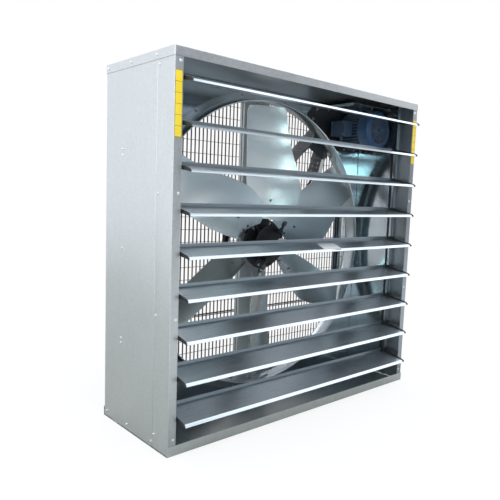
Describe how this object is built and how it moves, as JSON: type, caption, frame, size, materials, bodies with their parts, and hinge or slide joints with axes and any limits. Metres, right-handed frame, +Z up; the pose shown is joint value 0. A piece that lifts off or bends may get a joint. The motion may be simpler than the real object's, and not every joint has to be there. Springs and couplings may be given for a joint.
{
  "type": "shutter exhaust fan",
  "caption": "Belt-driven exhaust fan in a square galvanised box, with a self-opening louvre shutter in front, a guarded inlet behind and a motor in the upper corner.",
  "frame": {"origin": "centre of the bottom face of the box, where the fan stands in its wall opening", "axes": "+X to the right seen from the shutter, +Y from the shutter towards the guarded inlet, +Z up"},
  "size_m": [1.38, 0.521, 1.38],
  "materials": {
    "galvanised_sheet": "galvanised steel sheet, satin grey with a fine rolled grain",
    "bright_galvanised": "bright galvanised steel, cool blue-grey reflections",
    "slat_sheet": "rolled galvanised strip with streaks along the slat",
    "black_plastic": "moulded black nylon, satin",
    "black_paint": "black paint, semi-gloss",
    "dark_wire": "dark brown coated wire",
    "navy_paint": "navy blue motor enamel, satin",
    "cast_iron": "dark painted casting",
    "bright_steel": "ground and turned steel",
    "belt_rubber": "black wrapped rubber"
  },
  "bodies": {
    "housing": {"top_cap": "galvanised_sheet", "bottom_pan": "galvanised_sheet", "left_shutter_channel": "galvanised_sheet", "right_shutter_channel": "galvanised_sheet", "left_side_panel": "galvanised_sheet", "right_side_panel": "galvanised_sheet", "orifice_panel": "galvanised_sheet", "venturi_ring": "bright_galvanised", "rear_guard": "dark_wire", "left_post": "galvanised_sheet", "right_post": "galvanised_sheet", "bearing_housing": "cast_iron", "front_bearing": "bright_steel", "rear_bearing": "bright_steel", "motor_body": "navy_paint", "motor_fan_cover": "navy_paint", "terminal_box": "navy_paint", "motor_plate": "black_paint", "motor_shelf": "bright_galvanised", "belt_guard": "black_paint", "v_belt": "belt_rubber"},
    "impeller": {"impeller_shaft": "bright_steel", "shaft_nut": "bright_steel", "hub": "black_paint", "blade_1": "bright_galvanised", "blade_2": "bright_galvanised", "blade_3": "bright_galvanised", "blade_4": "bright_galvanised", "blade_5": "bright_galvanised", "blade_6": "bright_galvanised", "driven_pulley": "cast_iron", "governor_plate": "black_paint"},
    "motor_rotor": {"motor_shaft": "bright_steel", "motor_pulley": "cast_iron"},
    "slat_1": {"slat_1": "slat_sheet", "crank_cap_1": "black_plastic"},
    "slat_2": {"slat_2": "slat_sheet", "crank_cap_2": "black_plastic"},
    "slat_3": {"slat_3": "slat_sheet", "crank_cap_3": "black_plastic"},
    "slat_4": {"slat_4": "slat_sheet", "crank_cap_4": "black_plastic"},
    "slat_5": {"slat_5": "slat_sheet", "crank_cap_5": "black_plastic", "slat_bracket": "galvanised_sheet"},
    "slat_6": {"slat_6": "slat_sheet", "crank_cap_6": "black_plastic"},
    "slat_7": {"slat_7": "slat_sheet", "crank_cap_7": "black_plastic"},
    "slat_8": {"slat_8": "slat_sheet", "crank_cap_8": "black_plastic"},
    "slat_9": {"slat_9": "slat_sheet", "crank_cap_9": "black_plastic"},
    "link_bar": {"link_bar": "black_plastic"},
    "push_rod": {"push_rod": "bright_steel", "thrust_collar": "bright_steel", "buffer_spring": "bright_steel"},
    "flyweight_1": {"flyweight_1": "cast_iron"},
    "flyweight_2": {"flyweight_2": "cast_iron"}
  },
  "joints": [
    {"name": "impeller_spin", "type": "hinge", "parent": "housing", "child": "impeller", "pos_m": [0, 0.15, 0.69], "axis": [0, 1, 0], "continuous": true},
    {"name": "motor_spin", "type": "hinge", "parent": "housing", "child": "motor_rotor", "pos_m": [0.571, 0.15, 1.25], "axis": [0, 1, 0], "continuous": true},
    {"name": "slat_1_hinge", "type": "hinge", "parent": "housing", "child": "slat_1", "pos_m": [0, -0.148, 1.3], "axis": [1, 0, 0], "range_deg": [0, 70.5]},
    {"name": "slat_2_hinge", "type": "hinge", "parent": "housing", "child": "slat_2", "pos_m": [0, -0.148, 1.1552], "axis": [1, 0, 0], "range_deg": [0, 70.5]},
    {"name": "slat_3_hinge", "type": "hinge", "parent": "housing", "child": "slat_3", "pos_m": [0, -0.148, 1.0104], "axis": [1, 0, 0], "range_deg": [0, 70.5]},
    {"name": "slat_4_hinge", "type": "hinge", "parent": "housing", "child": "slat_4", "pos_m": [0, -0.148, 0.8656], "axis": [1, 0, 0], "range_deg": [0, 70.5]},
    {"name": "slat_5_hinge", "type": "hinge", "parent": "housing", "child": "slat_5", "pos_m": [0, -0.148, 0.7208], "axis": [1, 0, 0], "range_deg": [0, 70]},
    {"name": "slat_6_hinge", "type": "hinge", "parent": "housing", "child": "slat_6", "pos_m": [0, -0.148, 0.576], "axis": [1, 0, 0], "range_deg": [0, 70.5]},
    {"name": "slat_7_hinge", "type": "hinge", "parent": "housing", "child": "slat_7", "pos_m": [0, -0.148, 0.4312], "axis": [1, 0, 0], "range_deg": [0, 70.5]},
    {"name": "slat_8_hinge", "type": "hinge", "parent": "housing", "child": "slat_8", "pos_m": [0, -0.148, 0.2864], "axis": [1, 0, 0], "range_deg": [0, 70.5]},
    {"name": "slat_9_hinge", "type": "hinge", "parent": "housing", "child": "slat_9", "pos_m": [0, -0.148, 0.1416], "axis": [1, 0, 0], "range_deg": [0, 70.5]},
    {"name": "link_bar_hinge", "type": "hinge", "parent": "slat_5", "child": "link_bar", "pos_m": [0.66, -0.12735, 0.69131], "axis": [1, 0, 0], "range_deg": [-70.5, 0]},
    {"name": "push_rod_slide", "type": "slide", "parent": "housing", "child": "push_rod", "axis": [0, 1, 0], "range_m": [0, 0.0325]},
    {"name": "flyweight_1_hinge", "type": "hinge", "parent": "impeller", "child": "flyweight_1", "pos_m": [0.03815, 0.0076, 0.75106], "axis": [0.848, 0, -0.5299], "range_deg": [0, 33]},
    {"name": "flyweight_2_hinge", "type": "hinge", "parent": "impeller", "child": "flyweight_2", "pos_m": [-0.03815, 0.0076, 0.62894], "axis": [-0.848, 0, 0.5299], "range_deg": [0, 33]}
  ],
  "couplings": [
    {"joint": "motor_spin", "follows": "impeller_spin", "ratio": 3.2057},
    {"joint": "slat_1_hinge", "follows": "slat_5_hinge", "ratio": 1},
    {"joint": "slat_2_hinge", "follows": "slat_5_hinge", "ratio": 1},
    {"joint": "slat_3_hinge", "follows": "slat_5_hinge", "ratio": 1},
    {"joint": "slat_4_hinge", "follows": "slat_5_hinge", "ratio": 1},
    {"joint": "slat_6_hinge", "follows": "slat_5_hinge", "ratio": 1},
    {"joint": "slat_7_hinge", "follows": "slat_5_hinge", "ratio": 1},
    {"joint": "slat_8_hinge", "follows": "slat_5_hinge", "ratio": 1},
    {"joint": "slat_9_hinge", "follows": "slat_5_hinge", "ratio": 1},
    {"joint": "link_bar_hinge", "follows": "slat_5_hinge", "ratio": -1},
    {"joint": "push_rod_slide", "follows": "slat_5_hinge", "m_per_rad": 0.026291},
    {"joint": "flyweight_1_hinge", "follows": "slat_5_hinge", "ratio": 0.46437},
    {"joint": "flyweight_2_hinge", "follows": "slat_5_hinge", "ratio": 0.46437}
  ]
}
